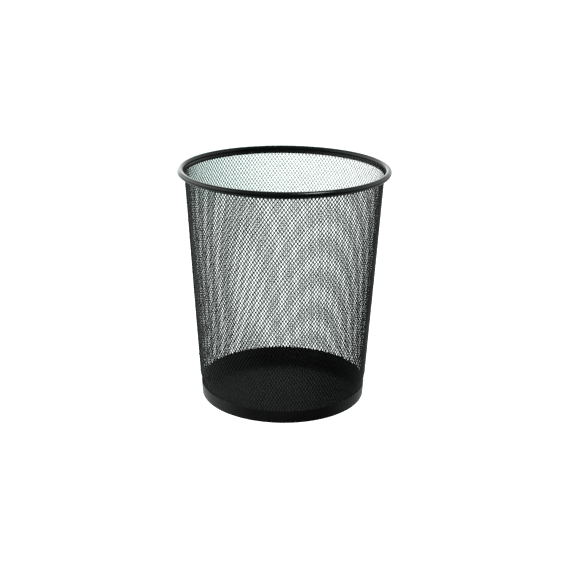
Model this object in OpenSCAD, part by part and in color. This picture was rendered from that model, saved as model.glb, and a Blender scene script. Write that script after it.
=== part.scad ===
// Round tapered steel-mesh wastebasket.
// The origin is the centre of the footprint on the ground, +Z is up.
// The wall is a cone of expanded steel mesh. Its top edge is gripped by a
// rolled bead, and its bottom edge is held between an outer base band and
// the upturned edge of a solid floor plate.

/* [Overall] */
// Height from the ground to the top of the rolled rim
height = 333.2; // [270:0.1:400]
// Outside diameter over the rolled rim
rim_d = 295; // [280:1:320]
// Radius that the mesh wall's outer face would have at the ground
wall_r0 = 118.1; // [110:0.1:122]

/* [Rolled rim] */
// Diameter of the rolled bead
bead_d = 8.4; // [7:0.1:12]
// Thickness of the steel strip that the rim is rolled from
rim_t = 0.6; // [0.5:0.05:0.8]
// How far the mesh edge runs up into the bead, measured along the flare
flare_l = 6.4; // [6:0.1:7]
// Lean of the flared mesh edge, from upright
flare_a = 28; // [24:1:32]

/* [Mesh wall] */
// Depth of the raised mesh sheet, from its inner to its outer face
mesh_t = 0.8; // [0.5:0.05:1]
// How far the wall draws in just above the base band
tuck = 1.4; // [0:0.1:2]
// Height over which it draws in
tuck_h = 16; // [10:1:30]
// Height of the mesh's lower edge above the ground
mesh_z0 = 1.8; // [1.6:0.1:3]
// Angle round the wall at which the overlapped seam starts
seam_at = 183; // [0:1:355]
// Angle that the overlap of the seam covers
seam_w = 4; // [3:0.5:8]

/* [Base band] */
// Height of the band
band_h = 19; // [15:0.5:26]
// Thickness of the band
band_t = 0.6; // [0.5:0.05:0.8]
// Width of the flat foot that the band's lower edge is turned in to form
foot_w = 6; // [4:0.5:12]
// Outside radius of the band's lower corner
corner_r = 1.3; // [1.1:0.1:1.5]

/* [Floor plate] */
// Thickness of the floor plate
floor_t = 0.6; // [0.5:0.05:0.8]
// Height of its upturned edge above the ground
flange_h = 9; // [8:0.5:12]

/* [Spot welds] */
// Number of welds round the upturned edge of the floor plate
base_welds = 16; // [8:1:24]
// Diameter of those welds
base_weld_d = 4; // [3:0.5:5]
// Number of welds up the seam of the mesh
seam_welds = 12; // [6:1:16]
// Diameter of those welds
seam_weld_d = 3; // [2:0.5:4]
// How far a weld stands out from the sheet it is on
weld_h = 0.25; // [0.2:0.05:0.4]

/* [Hidden] */
$fn = 144;

bead_r = bead_d / 2;
bead_c = [rim_d / 2 - bead_r, height - bead_r];

// The point on the bead's outside where the mesh goes in, and the point below
// it where the wall turns out into the flare.
entry_a = 216;
entry = bead_c + bead_r * [cos(entry_a), sin(entry_a)];
flare_up = [sin(flare_a), cos(flare_a)];
flare_out = [cos(flare_a), -sin(flare_a)];
flare_drop = 4.45;
flare_p = entry - flare_drop * flare_up;

// Outer face of the mesh wall as a radius at height z. It is a straight cone
// from the tuck up to the flare.
slope = (flare_p[0] - wall_r0) / flare_p[1];
function ease(u) = let (v = min(1, max(0, u))) v * v * (3 - 2 * v);
function wall_r(z) = wall_r0 + slope * z - tuck * (1 - ease((z - band_h) / tuck_h));

// Heights at which the wall's outline is sampled, between two limits.
tuck_z = [for (i = [0 : 8]) band_h + tuck_h * i / 8];
function wall_pts(z0, z1, d) = concat(
    [[wall_r(z0) - d, z0]],
    [for (z = tuck_z) if (z > z0 + 0.01 && z < z1 - 0.01) [wall_r(z) - d, z]],
    [[wall_r(z1) - d, z1]]);
function rev(v) = [for (i = [len(v) - 1 : -1 : 0]) v[i]];

// A sheet that follows the wall between z0 and z1, from depth a to depth b
// behind the wall's outer face.
module wall_sheet(z0, z1, a, b) {
    polygon(concat(wall_pts(z0, z1, a), rev(wall_pts(z0, z1, b))));
}

// Where the inner faces of the wall and of its flare meet.
flare_in = flare_p - mesh_t * flare_out;
knee = flare_in + (mesh_t - mesh_t * flare_out[0] + slope * mesh_t * flare_out[1])
    / (slope * flare_up[1] - flare_up[0]) * flare_up;
flare_pts = [
    flare_p,
    flare_p + flare_l * flare_up,
    flare_in + flare_l * flare_up,
    knee];

// The wall and its flared top edge, in one piece.
module mesh_section() {
    polygon(concat(
        wall_pts(mesh_z0, flare_p[1], 0),
        [flare_pts[1], flare_pts[2], knee],
        rev(wall_pts(mesh_z0, flare_p[1], mesh_t))));
}

// Sheet along a rounded corner: points on an arc of radius r about c.
function arc(c, r, a0, a1, n) = [for (i = [0 : n]) c + r * [cos(a0 + (a1 - a0) * i / n), sin(a0 + (a1 - a0) * i / n)]];

module mesh_wall() color("#1b1d1d") {
    rotate_extrude() mesh_section();
    // the second layer of the overlapped seam, inside the wall
    rotate([0, 0, seam_at]) rotate_extrude(angle = seam_w)
        wall_sheet(flange_h + 1, flare_p[1] - 2, mesh_t, 2 * mesh_t);
}

// The strip starts as a short lip on the outside of the mesh, is rolled out,
// over and in again, and closes on the inside of the mesh.
module rim_bead() color("#141616") rotate_extrude() difference() {
    union() {
        difference() {
            translate(bead_c) circle(bead_r);
            translate(bead_c) circle(bead_r - rim_t);
        }
        polygon([
            flare_p,
            flare_p + rim_t * flare_out,
            flare_p + rim_t * flare_out + flare_drop * flare_up,
            flare_p + (flare_drop + rim_t) * flare_up]);
    }
    polygon(flare_pts);
}

// The band hugs the outside of the mesh. Its lower edge turns in under the
// floor plate as a flat foot.
module base_band() color("#121313") rotate_extrude() {
    c = [wall_r(corner_r) + band_t - corner_r, corner_r];
    x_in = c[0] - foot_w;
    polygon(concat(
        [[x_in, 0]],
        arc(c, corner_r, 270, 360, 6),
        [[wall_r(band_h) + band_t, band_h], [wall_r(band_h), band_h]],
        arc(c, corner_r - band_t, 360, 270, 6),
        [[x_in, band_t]]));
}

// The floor plate lies on the band's foot, and its edge turns up inside the
// mesh.
module floor_plate() color("#151717") rotate_extrude() {
    z_b = band_t;
    r_o = corner_r + 0.2;
    c = [wall_r(z_b + r_o) - mesh_t - r_o, z_b + r_o];
    polygon(concat(
        [[0, z_b]],
        arc(c, r_o, 270, 360, 6),
        [[wall_r(flange_h) - mesh_t, flange_h], [wall_r(flange_h) - mesh_t - floor_t, flange_h]],
        arc(c, r_o - floor_t, 360, 270, 6),
        [[0, z_b + floor_t]]));
}

// Low round buttons up the outside of the seam.
module seam_spot_welds() color("#191b1b") {
    z_a = band_h + 14;
    z_b = flare_p[1] - 14;
    intersection() {
        rotate_extrude() wall_sheet(band_h + 4, flare_p[1] - 4, -weld_h, 0);
        union() for (i = [0 : seam_welds - 1])
            translate([0, 0, z_a + (z_b - z_a) * i / (seam_welds - 1)])
                rotate([0, 0, seam_at + seam_w / 2]) rotate([0, 90, 0])
                    translate([0, 0, wall_r0 - 12]) cylinder(d = seam_weld_d, h = rim_d / 2 - wall_r0 + 24);
    }
}

// Low round buttons on the inside of the floor plate's upturned edge.
module base_spot_welds() color("#191b1b") {
    d = mesh_t + floor_t;
    z_w = (flange_h + band_t + corner_r + 1) / 2;
    intersection() {
        rotate_extrude() wall_sheet(band_t + corner_r + 0.3, flange_h, d, d + weld_h);
        union() for (i = [0 : base_welds - 1])
            translate([0, 0, z_w]) rotate([0, 0, 360 * (i + 0.5) / base_welds]) rotate([0, 90, 0])
                translate([0, 0, wall_r0 - 12]) cylinder(d = base_weld_d, h = 24);
    }
}

mesh_wall();
rim_bead();
base_band();
floor_plate();
seam_spot_welds();
base_spot_welds();
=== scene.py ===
"""Looks for the round steel-mesh wastebasket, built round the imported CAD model. Metres, +Z up."""
import math

import bpy
import numpy as np
from mathutils import Matrix, Vector


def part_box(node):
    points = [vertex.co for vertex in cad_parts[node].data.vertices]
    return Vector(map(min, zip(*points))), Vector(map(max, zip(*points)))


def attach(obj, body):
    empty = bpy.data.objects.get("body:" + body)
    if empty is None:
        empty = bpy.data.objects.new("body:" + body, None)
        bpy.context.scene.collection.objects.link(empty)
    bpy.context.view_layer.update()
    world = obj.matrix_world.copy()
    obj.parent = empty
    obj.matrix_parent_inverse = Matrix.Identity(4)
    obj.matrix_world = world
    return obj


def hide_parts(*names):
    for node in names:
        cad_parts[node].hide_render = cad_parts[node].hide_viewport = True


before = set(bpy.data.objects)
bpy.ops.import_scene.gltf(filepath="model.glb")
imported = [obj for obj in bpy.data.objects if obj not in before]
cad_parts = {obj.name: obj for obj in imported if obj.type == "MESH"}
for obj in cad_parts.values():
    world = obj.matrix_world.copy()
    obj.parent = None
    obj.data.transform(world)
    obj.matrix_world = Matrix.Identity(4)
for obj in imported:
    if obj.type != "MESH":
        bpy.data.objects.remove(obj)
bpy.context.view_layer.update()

MM = 0.001
scene = bpy.context.scene


# ---------------------------------------------------------------- sizes, all read from the frame
def ring_points(node, step=1e-5):
    """The radius and height of each vertex of a node that is a body of revolution."""
    co = np.array([v.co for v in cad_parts[node].data.vertices], float)
    rz = np.c_[np.hypot(co[:, 0], co[:, 1]), co[:, 2]]
    return np.unique(np.round(rz / step).astype(np.int64), axis=0) * step


rim_lo, rim_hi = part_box("rim_bead")
band_lo, band_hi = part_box("base_band")
floor_lo, floor_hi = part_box("floor_plate")
wall_lo, wall_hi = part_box("mesh_wall")
seam_lo, seam_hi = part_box("seam_spot_welds")
RIM_R = float(rim_hi.x)
RIM_TOP = float(rim_hi.z)
LIP_Z = float(rim_lo.z)
BAND_H = float(band_hi.z)
FLANGE_H = float(floor_hi.z)
FLOOR_Z0 = float(floor_lo.z)
WALL_Z0 = float(wall_lo.z)
seam_mid = (seam_lo + seam_hi) / 2
SEAM_A = math.atan2(seam_mid.y, seam_mid.x)

wall = ring_points("mesh_wall")
top_in = wall[np.argmax(wall[:, 1])]
top_out = wall[np.argmax(wall[:, 0])]
SHEET_D = float(np.hypot(*(top_out - top_in)))  # depth of the raised mesh sheet
# The wall's outer face is the largest radius at each height, below the point where it flares out.
flare_dir = np.array([top_in[0] - top_out[0], top_in[1] - top_out[1]])
flare_up = np.array([-flare_dir[1], flare_dir[0]]) / SHEET_D
if flare_up[1] < 0:
    flare_up = -flare_up
flare_foot = None
for p in wall[np.argsort(-wall[:, 1])]:
    d = top_out - p
    n = np.hypot(*d)
    if n > 3 * MM and abs(d[0] * flare_up[1] - d[1] * flare_up[0]) < 0.05 * MM and n < 9 * MM:
        flare_foot = p
        break
FLARE_Z = float(flare_foot[1])
FLARE_R = float(flare_foot[0])
flare_up = (top_out - flare_foot) / np.hypot(*(top_out - flare_foot))
rows = {}
for r, z in wall:
    if z < FLARE_Z - 0.1 * MM:
        k = round(z / (0.05 * MM))
        rows[k] = max(rows.get(k, (0, 0)), (r, z))
outer = sorted([(z, r) for r, z in rows.values()]) + [(FLARE_Z, FLARE_R)]
# The lap's ends put rings of inner points in the list; they stand a sheet's depth inside their neighbours.
again = True
while again:
    again = False
    for i in range(1, len(outer) - 1):
        (za, ra), (z, r), (zb, rb) = outer[i - 1:i + 2]
        if r < ra + (rb - ra) * (z - za) / (zb - za) - 0.4 * SHEET_D:
            del outer[i]
            again = True
            break
outer = np.array(outer)


def wall_r(z):
    """Outer face of the wall at height z."""
    return np.interp(z, outer[:, 0], outer[:, 1])


band = ring_points("base_band")
top_ring = band[band[:, 1] > BAND_H - 0.02 * MM]
BAND_T = float(np.ptp(top_ring[:, 0]))
BAND_R = float(top_ring[:, 0].max())
FOOT_IN = float(band[:, 0].min())
plate = ring_points("floor_plate")
FLOOR_T = float(plate[plate[:, 0] < 1 * MM][:, 1].max() - FLOOR_Z0) if (plate[:, 0] < 1 * MM).any() else BAND_T


# ---------------------------------------------------------------- mesh helpers
def add_mesh(name, verts, faces, smooth=False):
    me = bpy.data.meshes.new(name)
    me.from_pydata([tuple(v) for v in verts], [], [tuple(f) for f in faces])
    me.update()
    if smooth:
        me.polygons.foreach_set("use_smooth", np.ones(len(me.polygons), bool))
    ob = bpy.data.objects.new(name, me)
    scene.collection.objects.link(ob)
    return ob


def add_quads(name, co, quads, smooth=None, uv=None):
    """A mesh from numpy arrays: co is n by 3, quads is m by 4, uv is m by 4 by 2."""
    used = np.unique(quads)
    remap = np.full(len(co), -1, np.int64)
    remap[used] = np.arange(len(used))
    co, quads = co[used], remap[quads]
    me = bpy.data.meshes.new(name)
    me.vertices.add(len(co))
    me.vertices.foreach_set("co", co.astype(np.float32).ravel())
    me.loops.add(quads.size)
    me.loops.foreach_set("vertex_index", quads.astype(np.int32).ravel())
    me.polygons.add(len(quads))
    me.polygons.foreach_set("loop_start", np.arange(0, quads.size, 4, dtype=np.int32))
    if smooth is not None:
        me.polygons.foreach_set("use_smooth", np.full(len(quads), bool(smooth)))
    if uv is not None:
        layer = me.uv_layers.new(name="OFBake")
        layer.data.foreach_set("uv", uv.astype(np.float32).ravel())
    me.update(calc_edges=True)
    me.validate()
    ob = bpy.data.objects.new(name, me)
    scene.collection.objects.link(ob)
    return ob


def lathe(name, section, n=360, smooth_angle=35, closed=True):
    """Turns a closed section, a list of (radius, height) points, about Z. Points on the axis join up."""
    sec = np.array(section, float)
    m = len(sec)
    a = 2 * math.pi * np.arange(n) / n
    ca, sa = np.cos(a), np.sin(a)
    on_axis = sec[:, 0] < 1e-7
    index, co = [], []
    for i, (r, z) in enumerate(sec):
        if on_axis[i]:
            index.append(np.full(n, len(co)))
            co.append((0.0, 0.0, z))
        else:
            index.append(len(co) + np.arange(n))
            co.extend(zip(r * ca, r * sa, np.full(n, z)))
    faces = []
    for i in range(m if closed else m - 1):
        j = (i + 1) % m
        if on_axis[i] and on_axis[j]:
            continue
        p, q = index[i], index[j]
        for k in range(n):
            l = (k + 1) % n
            f = [p[k], p[l], q[l], q[k]]
            f = [x for t, x in enumerate(f) if x != f[t - 1]]
            faces.append([int(x) for x in f])
    ob = add_mesh(name, co, faces, smooth=True)
    me = ob.data
    me.set_sharp_from_angle(angle=math.radians(smooth_angle))
    return ob


def fillet(points, radii, steps=5):
    """Rounds the corners of a closed outline. radii is one radius a point, 0 for a sharp corner."""
    pts, out = [np.array(p, float) for p in points], []
    n = len(pts)
    for i in range(n):
        p, a, b, r = pts[i], pts[i - 1], pts[(i + 1) % n], radii[i]
        u, v = a - p, b - p
        lu, lv = np.hypot(*u), np.hypot(*v)
        if r <= 0 or lu < 1e-9 or lv < 1e-9:
            out.append(p)
            continue
        u, v = u / lu, v / lv
        ang = math.acos(max(-1, min(1, float(u @ v))))
        if ang > math.pi - 0.02:
            out.append(p)
            continue
        t = min(r / math.tan(ang / 2), 0.48 * lu, 0.48 * lv)
        r2 = t * math.tan(ang / 2)
        bis = (u + v) / np.hypot(*(u + v))
        c = p + bis * (r2 / math.sin(ang / 2))
        s, e = p + u * t - c, p + v * t - c
        a0, a1 = math.atan2(s[1], s[0]), math.atan2(e[1], e[0])
        d = (a1 - a0 + math.pi) % (2 * math.pi) - math.pi
        for k in range(steps + 1):
            w = a0 + d * k / steps
            out.append(c + r2 * np.array([math.cos(w), math.sin(w)]))
    return out


# ---------------------------------------------------------------- the mesh wall, strand by strand
N_CELLS = 168          # diamonds round the wall
LAP_CELLS = 2          # diamonds that lie double at the seam
NODE_L = 4.29 * MM     # from the middle of one knuckle to the next, along a strand
STRAND_W = 1.12 * MM    # width of a strand where it is bonded, so a knuckle is twice this wide
STRAND_T = 0.43 * MM   # thickness of the sheet
BOND = 0.9 * MM        # upright length of a knuckle
TILT = math.radians(7)  # how far the strands are turned out of the sheet
PANELS = 3             # the sheet is written as this many meshes, side by side
DRIFT = 1.0            # how unevenly the sheet was drawn out: 0 is a perfectly even pattern
TURN = 0.0667          # turns the whole pattern round the wall, in diamonds

# Outline of the middle of the sheet, as an even curve of radius and height against distance along it.
half = SHEET_D / 2
zs = np.linspace(WALL_Z0, FLARE_Z - 1.2 * MM, 240)
slope_n = np.gradient(wall_r(zs), zs)
nrm = np.c_[np.ones_like(zs), -slope_n] / np.sqrt(1 + slope_n**2)[:, None]
line = np.c_[wall_r(zs), zs] - half * nrm
end = (top_in + top_out) / 2
knee_at = line[-1]
# a smooth turn from the wall into the flare
w_dir = line[-1] - line[-6]
w_dir /= np.hypot(*w_dir)
foot_mid = np.array([FLARE_R, FLARE_Z]) - half * np.array([flare_up[1], -flare_up[0]])
bez = []
p0, p3 = line[-1], foot_mid + 1.4 * MM * flare_up
p1 = p0 + w_dir * 1.0 * MM
p2 = p3 - flare_up * 1.0 * MM
for t in np.linspace(0, 1, 14)[1:]:
    bez.append((1 - t) ** 3 * p0 + 3 * (1 - t) ** 2 * t * p1 + 3 * (1 - t) * t**2 * p2 + t**3 * p3)
line = np.vstack([line, bez, [end]])
seg = np.hypot(*np.diff(line, axis=0).T)
s_at = np.r_[0, np.cumsum(seg)]
s_fine = np.linspace(0, s_at[-1], 1400)
line = np.c_[np.interp(s_fine, s_at, line[:, 0]), np.interp(s_fine, s_at, line[:, 1])]
# smooth the tuck's corners
kern = np.hanning(25)
kern /= kern.sum()
pad = np.pad(line, ((12, 12), (0, 0)), mode="reflect", reflect_type="odd")
line = np.c_[np.convolve(pad[:, 0], kern, "valid"), np.convolve(pad[:, 1], kern, "valid")]
tang = np.gradient(line, s_fine, axis=0)
tang /= np.hypot(*tang.T)[:, None]
norm = np.c_[tang[:, 1], -tang[:, 0]]

row_s = [BOND / 2 + 0.05 * MM]
while True:
    r = np.interp(row_s[-1], s_fine, line[:, 0])
    nxt = row_s[-1] + math.sqrt(NODE_L**2 - (math.pi * r / N_CELLS) ** 2)
    if nxt > s_fine[-1] - BOND / 2:
        break
    row_s.append(nxt)
row_s = np.array(row_s)
J = len(row_s) - 1
K = 2 * (N_CELLS + LAP_CELLS)
theta0 = SEAM_A - (LAP_CELLS - 2 * TURN) * math.pi / N_CELLS   # the first column of knuckles
half_cell = math.pi / N_CELLS


def soft_clip(t, a, b):
    """t within a, and past that it levels off b further on."""
    over = np.clip(np.abs(t) - a, 0, None)
    return np.sign(t) * (np.minimum(np.abs(t), a) + b * (1 - np.exp(-over / b)))


def cubic(c, t, u):
    """A polynomial in t and u up to third order, from its ten coefficients."""
    terms = (1, u, u * u, u**3, t, t * u, t * u * u, t * t, t * t * u, t**3)
    return sum(k * term for k, term in zip(c, terms))


def drift(a, z):
    """How far the drawn sheet's pattern strays from an even one at angle a and height z, in half diamonds round the
    wall and in rows up it. The knuckles' columns lean a little, more at the front than at the back, and the rows
    bow and climb."""
    u = (RIM_TOP - z) / 0.1
    t = soft_clip((a + math.pi / 2 + math.pi) % (2 * math.pi) - math.pi, 0.9, 0.25)
    v = soft_clip((a - math.pi / 2 + math.pi) % (2 * math.pi) - math.pi, 0.9, 0.25)
    front_k = 0.19 - 0.81 * u - 0.19 * u * u - 0.08 * t + 0.19 * t * u - 0.20 * t * t
    front_j = -0.65 - 0.055 * u + 0.06 * t - 0.445 * t * u - 0.30 * t * t
    back_k = 0.36 - 0.48 * u - 0.06 * u * u - 0.17 * v + 0.05 * v * u + 0.22 * v * v
    back_j = -0.48 + 0.17 * u + 0.064 * u * u + 0.29 * v + 0.23 * v * v
    # finer unevenness, which levels off towards the sides and the foot
    t2, v2, u2 = soft_clip(t, 0.62, 0.12), soft_clip(v, 0.62, 0.12), soft_clip(u, 2.3, 0.2)
    front_k = front_k + cubic((-0.021, 0.193, -0.206, 0.07, 0.715, -1.045, 0.435, -0.391, 0.358, -0.844), t2, u2)
    front_j = front_j + cubic((-0.026, 0.142, -0.188, 0.076, -0.204, 0.285, -0.123, 0.441, -0.516, 0.369), t2, u2)
    back_k = back_k + cubic((0.007, -0.088, 0.089, -0.02, 0.27, -0.139, 0.05, 0.251, -0.242, -0.685), v2, u2)
    back_j = back_j + cubic((-0.041, 0.107, -0.11, 0.036, 0.003, 0.142, -0.023, 0.125, -0.181, -0.173), v2, u2)
    f = np.clip(0.5 - np.sin(a), 0, 1)
    f = f * f * (3 - 2 * f)
    low = np.clip(z / (85 * MM), 0, 1)
    low = low * low * (3 - 2 * low)
    return DRIFT * (f * front_k + (1 - f) * back_k), DRIFT * low * (f * front_j + (1 - f) * back_j)


def place(k, x, s, d):
    """From half-column number k, offset x round the wall, distance s up the sheet and depth d to a point in space.
    At its end the sheet steps inside its beginning by its own depth."""
    r = np.interp(s, s_fine, line[:, 0])
    z = np.interp(s, s_fine, line[:, 1])
    a0 = theta0 + k * half_cell
    a, stray = a0, 0
    for _ in range(3):
        across, up = drift(a, z)
        a = a0 - across * half_cell
        stray = -up * (row_s[-1] - row_s[0]) / J
        z = np.interp(s + stray, s_fine, line[:, 1])
    s = s + stray
    a = a + x / r
    r, z, nr, nz = (np.interp(s, s_fine, c) for c in (line[:, 0], line[:, 1], norm[:, 0], norm[:, 1]))
    past = np.clip(s - s_fine[-1], 0, None)
    r, z = r + past * tang[-1, 0], z + past * tang[-1, 1]
    u = s / s_fine[-1]
    body = np.clip(u / 0.06, 0, 1) * np.clip((1 - u) / 0.06, 0, 1)
    bow = body * (0.10 * np.sin(4 * a + 3 * u) + 0.08 * np.sin(9 * a - 7 * u + 0.7)) * MM
    step = np.clip((k / 2 - (N_CELLS - 7)) / 6.0, 0, 1)
    step = -SHEET_D * 1.02 * step * step * (3 - 2 * step)
    step = step * np.clip((s_fine[-1] - s) / (14 * MM), 0, 1) * np.clip((s - FLANGE_H) / (10 * MM), 0, 1)
    d = d + bow + step
    rr = r + d * nr
    return np.stack([rr * np.cos(a), rr * np.sin(a), z + d * nz], -1)


def wall_panel(name, k0, k1):
    ks, js = np.meshgrid(np.arange(k0, k1 + 1), np.arange(J + 1), indexing="ij")
    ok = (ks + js) % 2 == 0
    ks, js = ks[ok], js[ok]
    n = len(ks)
    number = np.full((k1 - k0 + 1, J + 1), -1, np.int64)
    number[ks - k0, js] = np.arange(n)
    # small seeded unevenness of each knuckle
    seedk = np.abs(np.sin(ks * 12.9898 + js * 78.233) * 43758.5453) % 1.0
    seedj = np.abs(np.sin(ks * 39.346 + js * 11.135) * 24634.6345) % 1.0
    jx = (seedk - 0.5) * 0.10 * MM
    jy = (seedj - 0.5) * 0.10 * MM
    jt = TILT + (seedk - 0.5) * math.radians(3)
    xs = np.array([-1.0, 0.0, 1.0]) * STRAND_W
    ys = np.array([-0.5, 0.5]) * BOND
    ds = np.array([0.5, -0.5]) * STRAND_T
    D, Y, X = np.meshgrid(ds, ys, xs, indexing="ij")
    D, Y, X = D.ravel(), Y.ravel(), X.ravel()
    x = X[None] * np.cos(jt)[:, None] - D[None] * np.sin(jt)[:, None] + jx[:, None]
    d = X[None] * np.sin(jt)[:, None] + D[None] * np.cos(jt)[:, None]
    s = row_s[js][:, None] + Y[None] + jy[:, None]
    co = place(ks[:, None].astype(float) + 0 * x, x, s, d).reshape(-1, 3)

    def v(i, layer, top, side):
        return i * 12 + layer * 6 + top * 3 + side

    # Every face is unrolled flat: the outer faces in one half of the map, with the cut edges opened out beside
    # them, and the inner faces in the other half.
    flat_x = (((ks - k0)[:, None] * half_cell * 0.13) + x).ravel()
    flat_s = s.ravel()
    inner_side = np.tile(D < 0, n)
    width = (k1 - k0) * half_cell * 0.13 + 6 * MM
    q, uv = [], []

    def add(*cols, lay="out"):
        f = np.stack(cols, -1)
        u, w = flat_x[f], flat_s[f]
        deep = inner_side[f]
        if lay == "in":
            u = u + width
        elif lay == "right":
            u = u + deep * STRAND_T
        elif lay == "left":
            u = u - deep * STRAND_T
        elif lay == "down":
            w = w - deep * STRAND_T
        elif lay == "up":
            w = w + deep * STRAND_T
        q.append(f)
        uv.append(np.stack([(u + 3 * MM) / (2 * width), (w + 3 * MM) / (s_fine[-1] + 6 * MM)], -1))

    idx = np.arange(n)
    has_r, has_l = ks < k1, ks > k0
    for has, a, b in ((has_r, 1, 2), (has_l, 0, 1)):
        i = idx[has]
        add(v(i, 0, 0, a), v(i, 0, 0, b), v(i, 0, 1, b), v(i, 0, 1, a))
        add(v(i, 1, 0, a), v(i, 1, 1, a), v(i, 1, 1, b), v(i, 1, 0, b), lay="in")
    i = idx[has_r]
    add(v(i, 0, 0, 2), v(i, 1, 0, 2), v(i, 1, 1, 2), v(i, 0, 1, 2), lay="right")
    i = idx[has_l]
    add(v(i, 1, 0, 0), v(i, 0, 0, 0), v(i, 0, 1, 0), v(i, 1, 1, 0), lay="left")
    i = idx[~has_l]
    add(v(i, 1, 0, 1), v(i, 0, 0, 1), v(i, 0, 1, 1), v(i, 1, 1, 1), lay="left")
    i = idx[~has_r]
    add(v(i, 0, 0, 1), v(i, 1, 0, 1), v(i, 1, 1, 1), v(i, 0, 1, 1), lay="right")
    # strands up to the right and up to the left
    for has, dk, a, b, e, c in ((has_r & (js < J), 1, 1, 2, 0, 1), (has_l & (js < J), -1, 0, 1, 1, 2)):
        i = idx[has]
        o = number[ks[has] + dk - k0, js[has] + 1]
        add(v(i, 0, 1, a), v(i, 0, 1, b), v(o, 0, 0, c), v(o, 0, 0, e))
        add(v(i, 1, 1, a), v(o, 1, 0, e), v(o, 1, 0, c), v(i, 1, 1, b), lay="in")
        add(v(i, 0, 1, b), v(i, 1, 1, b), v(o, 1, 0, c), v(o, 0, 0, c), lay="right")
        add(v(i, 1, 1, a), v(i, 0, 1, a), v(o, 0, 0, e), v(o, 1, 0, e), lay="left")
    # cut ends at the top and bottom edges of the sheet
    for has, a, b in ((has_r, 1, 2), (has_l, 0, 1)):
        i = idx[has & (js == 0)]
        add(v(i, 1, 0, a), v(i, 1, 0, b), v(i, 0, 0, b), v(i, 0, 0, a), lay="down")
        i = idx[has & (js == J)]
        add(v(i, 0, 1, a), v(i, 0, 1, b), v(i, 1, 1, b), v(i, 1, 1, a), lay="up")
    return add_quads(name, co, np.concatenate(q), smooth=False, uv=np.concatenate(uv))


cuts = np.linspace(0, K, PANELS + 1).round().astype(int)
mesh_pieces = [wall_panel("mesh_wall_panel_%d" % (i + 1), int(cuts[i]), int(cuts[i + 1])) for i in range(PANELS)]

# ---------------------------------------------------------------- rolled rim
rim = ring_points("rim_bead")
BEAD_R = float(RIM_R - rim[rim[:, 1] > RIM_TOP - 6 * MM][:, 0].min()) / 2
bead_c = np.array([RIM_R - BEAD_R, RIM_TOP - BEAD_R])
lip_foot = rim[np.argmin(rim[:, 1])]            # outer lower edge of the lip
flare_n = np.array([flare_up[1], -flare_up[0]])
foot = np.array([FLARE_R, FLARE_Z])
RIM_T = float((lip_foot - foot) @ flare_n)
entry_s = None
# where the flare's outer face meets the bead's outer surface
dv = foot - bead_c
bq = float(dv @ flare_up)
cq = float(dv @ dv) - BEAD_R**2
entry_s = -bq - math.sqrt(max(bq * bq - cq, 0))
a_out = foot + entry_s * flare_up
dv2 = dv + RIM_T * flare_n
bq2 = float(dv2 @ flare_up)
cq2 = float(dv2 @ dv2) - BEAD_R**2
s_lip = -bq2 - math.sqrt(max(bq2 * bq2 - cq2, 0))
p_lip_top = foot + RIM_T * flare_n + s_lip * flare_up
# the inner end of the curl, on the mesh's inner face
dv3 = dv - SHEET_D * flare_n
bq3 = float(dv3 @ flare_up)
cq3 = float(dv3 @ dv3) - BEAD_R**2
s_in = -bq3 - math.sqrt(max(bq3 * bq3 - cq3, 0))
p_in = foot - SHEET_D * flare_n + s_in * flare_up
cq4 = float(dv3 @ dv3) - (BEAD_R - RIM_T) ** 2
s_in2 = -bq3 - math.sqrt(max(bq3 * bq3 - cq4, 0))
p_in2 = foot - SHEET_D * flare_n + s_in2 * flare_up
cq5 = float(dv @ dv) - (BEAD_R - RIM_T) ** 2
s_out2 = -bq - math.sqrt(max(bq * bq - cq5, 0))
p_out2 = foot + s_out2 * flare_up


def ang(p):
    return math.atan2(p[1] - bead_c[1], p[0] - bead_c[0]) % (2 * math.pi)


a0, a1 = ang(p_lip_top), ang(p_in) + 2 * math.pi
sec = []
lip = fillet([foot, lip_foot, p_lip_top], [0.12 * MM, 0.2 * MM, 0], 4)
sec += [p for p in lip[:-1]]
root_r = 0.5 * MM
outer_arc = [bead_c + BEAD_R * np.array([math.cos(a), math.sin(a)]) for a in np.linspace(a0 + 0.10, a1 - 0.02, 64)]
sec += [p_lip_top + (outer_arc[0] - p_lip_top) * 0.5 + np.array([-0.03, 0.03]) * MM]
sec += outer_arc
sec += [p_in, p_in2]
b0, b1 = ang(p_in2), ang(p_out2)
if b0 < b1:
    b0 += 2 * math.pi
sec += [bead_c + (BEAD_R - RIM_T) * np.array([math.cos(a), math.sin(a)]) for a in np.linspace(b0, b1, 40)[1:-1]]
sec += [p_out2]
rim_ob = lathe("rim_roll", sec[::1], n=384, smooth_angle=40)

# ---------------------------------------------------------------- base band
foot_pts = band[band[:, 1] < 0.02 * MM]
c_x = float(foot_pts[:, 0].max())
c_r = float(band[band[:, 1] < 2 * MM][:, 0].max()) - c_x
arc_n = 10
band_sec = []
band_sec += fillet([(c_x, BAND_T), (FOOT_IN, BAND_T), (FOOT_IN, 0.0), (c_x, 0.0)], [0, 0.2 * MM, 0.1 * MM, 0], 4)[1:-1]
band_sec += [(c_x + c_r * math.cos(a), c_r + c_r * math.sin(a)) for a in np.linspace(-math.pi / 2, 0, arc_n + 1)]
top_edge = fillet([(c_x + c_r, c_r), (BAND_R, BAND_H), (BAND_R - BAND_T, BAND_H), (c_x + c_r - BAND_T, c_r)], [0, 0.24 * MM, 0.2 * MM, 0], 6)
band_sec += [tuple(p) for p in top_edge[1:-1]]
band_sec += [(c_x + (c_r - BAND_T) * math.cos(a), c_r + (c_r - BAND_T) * math.sin(a)) for a in np.linspace(0, -math.pi / 2, arc_n + 1)]
band_ob = lathe("base_band_strip", band_sec, n=384, smooth_angle=40)

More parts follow.
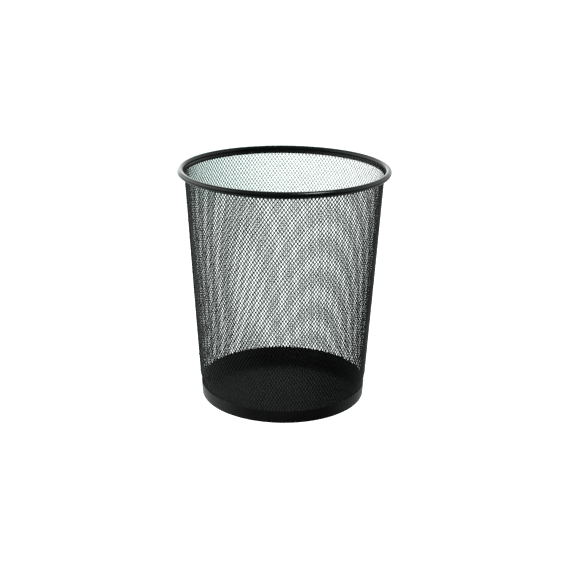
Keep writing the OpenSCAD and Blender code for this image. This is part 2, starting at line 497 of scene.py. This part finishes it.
# ---------------------------------------------------------------- floor plate
up = plate[plate[:, 1] > FLANGE_H - 0.02 * MM]
f_out, f_in = float(up[:, 0].max()), float(up[:, 0].min())
low = plate[plate[:, 1] < FLOOR_Z0 + 0.02 * MM]
fc_x = float(low[:, 0].max())
widest_low = plate[(plate[:, 1] < FLANGE_H * 0.5)]
f_cr = float(widest_low[:, 0].max()) - fc_x
fc_z = FLOOR_Z0 + f_cr
ft = f_out - f_in
sec = [(0.0, FLOOR_Z0)]
for rr in (0.03, 0.06, 0.09):
    sec.append((rr, FLOOR_Z0))
sec += [(fc_x + f_cr * math.cos(a), fc_z + f_cr * math.sin(a)) for a in np.linspace(-math.pi / 2, 0, 11)]
sec += [tuple(p) for p in fillet([(fc_x + f_cr, fc_z), (f_out, FLANGE_H), (f_in, FLANGE_H), (fc_x + f_cr - ft, fc_z)], [0, 0.15 * MM, 0.25 * MM, 0], 5)[1:-1]]
sec += [(fc_x + (f_cr - ft) * math.cos(a), fc_z + (f_cr - ft) * math.sin(a)) for a in np.linspace(0, -math.pi / 2, 9)]
for rr in (0.09, 0.06, 0.03):
    sec.append((rr, FLOOR_Z0 + ft))
sec.append((0.0, FLOOR_Z0 + ft))
floor_ob = lathe("floor_plate_sheet", sec, n=384, smooth_angle=40)


# ---------------------------------------------------------------- materials
def steel_paint(name, colour, rough, spec=0.5, bump=0.12, grain=1600.0, fade=0.5, inside=None):
    """Black powder coat: a little uneven in colour and gloss, with a fine pebbled skin, and rubbed thin in places.
    inside, if given, is painted light: a paler colour on faces turned towards the basket's axis, standing in for light
    falling on the inside of the wall."""
    m = bpy.data.materials.new(name)
    m.use_nodes = True
    nt = m.node_tree
    nt.nodes.clear()
    out = nt.nodes.new("ShaderNodeOutputMaterial")
    p = nt.nodes.new("ShaderNodeBsdfPrincipled")
    nt.links.new(p.outputs["BSDF"], out.inputs["Surface"])
    tc = nt.nodes.new("ShaderNodeTexCoord")
    big = nt.nodes.new("ShaderNodeTexNoise")
    big.inputs["Scale"].default_value = 22.0
    big.inputs["Detail"].default_value = 4.0
    nt.links.new(tc.outputs["Object"], big.inputs["Vector"])
    fine = nt.nodes.new("ShaderNodeTexNoise")
    fine.inputs["Scale"].default_value = grain
    fine.inputs["Detail"].default_value = 2.0
    nt.links.new(tc.outputs["Object"], fine.inputs["Vector"])
    mix = nt.nodes.new("ShaderNodeMix")
    mix.data_type = "RGBA"
    mix.inputs[6].default_value = (*[c * (1 - 0.35 * fade) for c in colour], 1)
    mix.inputs[7].default_value = (*[min(1, c * (1 + 0.9 * fade)) for c in colour], 1)
    ramp = nt.nodes.new("ShaderNodeMapRange")
    ramp.inputs["From Min"].default_value = 0.3
    ramp.inputs["From Max"].default_value = 0.72
    nt.links.new(big.outputs["Fac"], ramp.inputs["Value"])
    nt.links.new(ramp.outputs["Result"], mix.inputs[0])
    paint = mix.outputs[2]
    # Painted light: faces turned towards the axis take the paler inside colour, which stands in for light on the
    # inside of the wall.
    if inside:
        geo = nt.nodes.new("ShaderNodeNewGeometry")
        flat = nt.nodes.new("ShaderNodeVectorMath")
        flat.operation = "MULTIPLY"
        flat.inputs[1].default_value = (1, 1, 0)
        nt.links.new(geo.outputs["Position"], flat.inputs[0])
        unit = nt.nodes.new("ShaderNodeVectorMath")
        unit.operation = "NORMALIZE"
        nt.links.new(flat.outputs["Vector"], unit.inputs[0])
        dot = nt.nodes.new("ShaderNodeVectorMath")
        dot.operation = "DOT_PRODUCT"
        nt.links.new(unit.outputs["Vector"], dot.inputs[0])
        nt.links.new(geo.outputs["True Normal"], dot.inputs[1])
        turned = nt.nodes.new("ShaderNodeMapRange")
        turned.inputs["From Min"].default_value = -0.4
        turned.inputs["From Max"].default_value = -0.8
        nt.links.new(dot.outputs["Value"], turned.inputs["Value"])
        tall = nt.nodes.new("ShaderNodeSeparateXYZ")
        nt.links.new(geo.outputs["Position"], tall.inputs["Vector"])
        inner_lit_mask = turned.outputs["Result"]
        # The painted light is kept off the faces next to the band and up under the rim's lip, which keep the paint's
        # dark colour.
        for a, b in ((BAND_H, BAND_H + 6 * MM), (LIP_Z + 0.5 * MM, LIP_Z - 2 * MM)):
            fade_out = nt.nodes.new("ShaderNodeMapRange")
            fade_out.inputs["From Min"].default_value = a
            fade_out.inputs["From Max"].default_value = b
            nt.links.new(tall.outputs["Z"], fade_out.inputs["Value"])
            both = nt.nodes.new("ShaderNodeMath")
            both.operation = "MULTIPLY"
            nt.links.new(inner_lit_mask, both.inputs[0])
            nt.links.new(fade_out.outputs["Result"], both.inputs[1])
            inner_lit_mask = both.outputs["Value"]
        inner_lit_mix = nt.nodes.new("ShaderNodeMix")
        inner_lit_mix.data_type = "RGBA"
        nt.links.new(inner_lit_mask, inner_lit_mix.inputs[0])
        nt.links.new(paint, inner_lit_mix.inputs[6])
        # The painted light colour, varied at random in tone by the same noise as the paint.
        inner_lit_tone = nt.nodes.new("ShaderNodeMix")
        inner_lit_tone.data_type = "RGBA"
        inner_lit_tone.inputs[6].default_value = (*[c * 0.75 for c in inside], 1)
        inner_lit_tone.inputs[7].default_value = (*[c * 1.25 for c in inside], 1)
        nt.links.new(ramp.outputs["Result"], inner_lit_tone.inputs[0])
        nt.links.new(inner_lit_tone.outputs[2], inner_lit_mix.inputs[7])
        paint = inner_lit_mix.outputs[2]
    nt.links.new(paint, p.inputs["Base Color"])
    rr = nt.nodes.new("ShaderNodeMapRange")
    rr.inputs["From Min"].default_value = 0.3
    rr.inputs["From Max"].default_value = 0.7
    rr.inputs["To Min"].default_value = rough * 0.85
    rr.inputs["To Max"].default_value = rough * 1.2
    nt.links.new(big.outputs["Fac"], rr.inputs["Value"])
    nt.links.new(rr.outputs["Result"], p.inputs["Roughness"])
    b = nt.nodes.new("ShaderNodeBump")
    b.inputs["Strength"].default_value = bump
    b.inputs["Distance"].default_value = 0.00004
    nt.links.new(fine.outputs["Fac"], b.inputs["Height"])
    nt.links.new(b.outputs["Normal"], p.inputs["Normal"])
    p.inputs["Specular IOR Level"].default_value = spec
    return m


# Painted light: the paler colour of the mesh's inward faces, standing in for light on the inside of the wall.
INSIDE_LIT = (0.095, 0.102, 0.100)
mat_mesh = steel_paint("mesh_black", (0.0028, 0.0030, 0.0029), 0.40, 0.04, 0.10, inside=INSIDE_LIT)
mat_rim = steel_paint("rim_black", (0.0008, 0.0014, 0.0012), 0.22, 0.12, 0.10)
mat_band = steel_paint("band_black", (0.003, 0.003, 0.003), 0.28, 0.08, 0.12)
mat_floor = steel_paint("floor_black", (0.0010, 0.0010, 0.0010), 0.26, 0.02, 0.12)

for ob in mesh_pieces:
    ob.data.materials.append(mat_mesh)
    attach(ob, "root")
    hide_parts("mesh_wall")
for ob, node, mat, slot in ((rim_ob, "rim_bead", mat_rim, "rim_black"), (band_ob, "base_band", mat_band, "band_black"), (floor_ob, "floor_plate", mat_floor, "floor_black")):
    ob.data.materials.append(mat)
    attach(ob, "root")
    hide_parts(node)
for node, mat in (("seam_spot_welds", mat_mesh), ("base_spot_welds", mat_floor)):
    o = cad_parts[node]
    o.data.materials.clear()
    o.data.materials.append(mat)

# ---------------------------------------------------------------- floor, light and camera
BACKDROP = (1.66, 1.79, 1.76)   # what the camera sees of the studio, overexposed, faintly green
COVE_L, COVE_R = (1.17, 1.46, 1.38), (1.54, 1.60, 1.58)   # the same behind the opening, at the left and the right
FRONT_LO, FRONT_E, SIDE_E, LEFT_E, TOP_E, TABLE_E = 0.03, 0.3, 1.35, 2.1, 0.25, 0.55
ROOM_L, ROOM_R = 1.6, 0.7
FLAT_L, FLAT_R, GLOW_L, GLOW_R = 3.0, 1.5, 2.0, 0.6


def studio(nt, direction):
    """Light from a direction: a white cove behind and at both sides, dark where the camera stands."""
    sep = nt.nodes.new("ShaderNodeSeparateXYZ")
    nt.links.new(direction, sep.inputs["Vector"])

    def ramp(value, a, b, c, d):
        m = nt.nodes.new("ShaderNodeMapRange")
        m.interpolation_type = "SMOOTHSTEP"
        for name, v in (("From Min", a), ("From Max", b), ("To Min", c), ("To Max", d)):
            m.inputs[name].default_value = v
        nt.links.new(value, m.inputs["Value"])
        return m.outputs["Result"]

    def mul(x, y):
        m = nt.nodes.new("ShaderNodeMath")
        m.operation = "MULTIPLY"
        nt.links.new(x, m.inputs[0])
        if isinstance(y, float):
            m.inputs[1].default_value = y
        else:
            nt.links.new(y, m.inputs[1])
        return m.outputs["Value"]

    def add(x, y):
        m = nt.nodes.new("ShaderNodeMath")
        m.operation = "ADD"
        nt.links.new(x, m.inputs[0])
        if isinstance(y, float):
            m.inputs[1].default_value = y
        else:
            nt.links.new(y, m.inputs[1])
        return m.outputs["Value"]

    back = ramp(sep.outputs["Y"], -0.6, 0.1, 0.0, 1.0)
    side = ramp(sep.outputs["X"], -0.9, 0.3, LEFT_E, SIDE_E)
    level = mul(back, side)
    # overhead is dimmer than the cove, and so is the table
    over = ramp(sep.outputs["Z"], 0.45, 0.85, 1.0, TOP_E)
    under = ramp(sep.outputs["Z"], -0.2, 0.1, TABLE_E, 1.0)
    # a white flat stands at each side, reaching a little in front of the basket
    high = ramp(sep.outputs["Z"], -0.05, 0.15, 0.0, 1.0)
    left = mul(ramp(sep.outputs["X"], -0.9, -0.45, FLAT_L, 0.0), ramp(sep.outputs["Y"], -0.75, -0.35, 0.0, 1.0))
    right = mul(ramp(sep.outputs["X"], 0.5, 0.9, 0.0, FLAT_R), ramp(sep.outputs["Y"], -0.75, -0.35, 0.0, 1.0))
    flats = mul(add(left, right), high)
    # the brightest part of the cove, low down behind the basket, which the rim's two ends mirror
    glow = mul(ramp(sep.outputs["Y"], 0.82, 0.94, 0.0, 1.0), ramp(sep.outputs["Z"], -0.2, -0.08, 0.0, 1.0))
    glow = mul(glow, ramp(sep.outputs["X"], -0.05, 0.1, GLOW_L, GLOW_R))
    # the room behind the camera, grey, brighter high up and to the left
    room = mul(ramp(sep.outputs["Z"], -0.5, 0.4, FRONT_LO, FRONT_E), ramp(sep.outputs["X"], -0.7, 0.7, ROOM_L, ROOM_R))
    room = mul(room, ramp(sep.outputs["Y"], -0.5, 0.3, 1.0, 0.05))
    return add(add(add(mul(mul(level, over), under), flats), glow), room)


def studio_shader(nt, direction):
    """The backdrop for the camera, the studio for everything that lights or is mirrored."""
    path = nt.nodes.new("ShaderNodeLightPath")
    seen = nt.nodes.new("ShaderNodeMix")
    seen.data_type = "RGBA"
    nt.links.new(path.outputs["Is Camera Ray"], seen.inputs[0])
    tint = nt.nodes.new("ShaderNodeVectorMath")
    tint.operation = "SCALE"
    tint.inputs[0].default_value = (0.95, 1.0, 0.985)
    level = studio(nt, direction)
    nt.links.new(level, tint.inputs["Scale"])
    nt.links.new(tint.outputs["Vector"], seen.inputs[6])
    # behind the basket's opening the cove is lit unevenly: dim and greener at the left, brighter at the right
    sep = nt.nodes.new("ShaderNodeSeparateXYZ")
    nt.links.new(direction, sep.inputs["Vector"])
    spot = None
    for axis, a, b in (("Z", -0.262, -0.240), ("Z", -0.165, -0.185), ("Y", 0.90, 0.95)):
        edge = nt.nodes.new("ShaderNodeMapRange")
        edge.interpolation_type = "SMOOTHSTEP"
        edge.inputs["From Min"].default_value = a
        edge.inputs["From Max"].default_value = b
        nt.links.new(sep.outputs[axis], edge.inputs["Value"])
        if spot is None:
            spot = edge.outputs["Result"]
            continue
        both = nt.nodes.new("ShaderNodeMath")
        both.operation = "MULTIPLY"
        nt.links.new(spot, both.inputs[0])
        nt.links.new(edge.outputs["Result"], both.inputs[1])
        spot = both.outputs["Value"]
    across = nt.nodes.new("ShaderNodeMapRange")
    for name, v in (("From Min", -0.085), ("From Max", 0.085)):
        across.inputs[name].default_value = v
    nt.links.new(sep.outputs["X"], across.inputs["Value"])
    cove = nt.nodes.new("ShaderNodeMix")
    cove.data_type = "RGBA"
    cove.inputs[6].default_value = (*COVE_L, 1)
    cove.inputs[7].default_value = (*COVE_R, 1)
    nt.links.new(across.outputs["Result"], cove.inputs[0])
    whole = nt.nodes.new("ShaderNodeMix")
    whole.data_type = "RGBA"
    nt.links.new(spot, whole.inputs[0])
    whole.inputs[6].default_value = (*BACKDROP, 1)
    nt.links.new(cove.outputs[2], whole.inputs[7])
    nt.links.new(whole.outputs[2], seen.inputs[7])
    return seen.outputs[2]


s = 6.0
ground = add_mesh("ground", [(-s, -s, 0), (s, -s, 0), (s, s, 0), (-s, s, 0)], [(0, 1, 2, 3)])
gm = bpy.data.materials.new("ground_pale")
gm.use_nodes = True
nt = gm.node_tree
nt.nodes.clear()
g_out = nt.nodes.new("ShaderNodeOutputMaterial")
g_em = nt.nodes.new("ShaderNodeEmission")
g_in = nt.nodes.new("ShaderNodeNewGeometry")
g_neg = nt.nodes.new("ShaderNodeVectorMath")
g_neg.operation = "SCALE"
g_neg.inputs["Scale"].default_value = -1.0
nt.links.new(g_in.outputs["Incoming"], g_neg.inputs[0])
nt.links.new(studio_shader(nt, g_neg.outputs["Vector"]), g_em.inputs["Color"])
nt.links.new(g_em.outputs["Emission"], g_out.inputs["Surface"])
ground.data.materials.append(gm)

w = bpy.data.worlds.new("studio")
scene.world = w
w.use_nodes = True
nt = w.node_tree
bg = nt.nodes["Background"]
w_tc = nt.nodes.new("ShaderNodeTexCoord")
nt.links.new(studio_shader(nt, w_tc.outputs["Generated"]), bg.inputs["Color"])
bg.inputs["Strength"].default_value = 1.0


def lamp(name, at, aim, size, power, colour=(1, 1, 1)):
    d = bpy.data.lights.new(name, "AREA")
    d.shape = "DISK"
    d.size = size
    d.energy = power
    d.color = colour
    o = bpy.data.objects.new(name, d)
    scene.collection.objects.link(o)
    o.location = at
    o.rotation_euler = (Vector(aim) - Vector(at)).to_track_quat("-Z", "Y").to_euler()
    return o


key = lamp("key", (-1.8, -1.25, 1.5), (0, 0, 0.3), 1.2, 190)
key.visible_glossy = False   # it lifts the dull inside of the far wall without a glint on the rim
glint = lamp("glint", (0.188, -0.279, 0.617), (0.041, -0.143, 0.33), 0.17, 0.15)
glint.data.spread = math.radians(30)   # a gridded lamp: its streak falls on the front of the rim only
glint.visible_camera = False

cam_d = bpy.data.cameras.new("camera")
cam = bpy.data.objects.new("camera", cam_d)
scene.collection.objects.link(cam)
scene.camera = cam
D, HC, PITCH, F_PX, ROLL, CX = 1.5130330, 0.6761612, 0.32820, 1120.4074, 0.0089, 283.4769
cam.location = (0, -D, HC)
look = Vector((0, math.cos(PITCH), -math.sin(PITCH)))
rot = look.to_track_quat("-Z", "Y").to_matrix().to_4x4()
cam.matrix_world = Matrix.Translation((0, -D, HC)) @ rot @ Matrix.Rotation(ROLL, 4, "Z")
cam_d.sensor_width = 36.0
cam_d.lens = F_PX * 36.0 / 570.0
cam_d.shift_x = (285.0 - CX) / 570.0
cam_d.clip_start = 0.01
cam_d.dof.use_dof = True
cam_d.dof.focus_distance = 1.47
cam_d.dof.aperture_fstop = 8.0
cam_d.clip_end = 50

scene.view_settings.view_transform = "Standard"
scene.view_settings.look = "None"
# The guide passes of so fine a mesh mislead the denoiser when they are smoothed first.
scene.cycles.denoising_prefilter = "NONE"
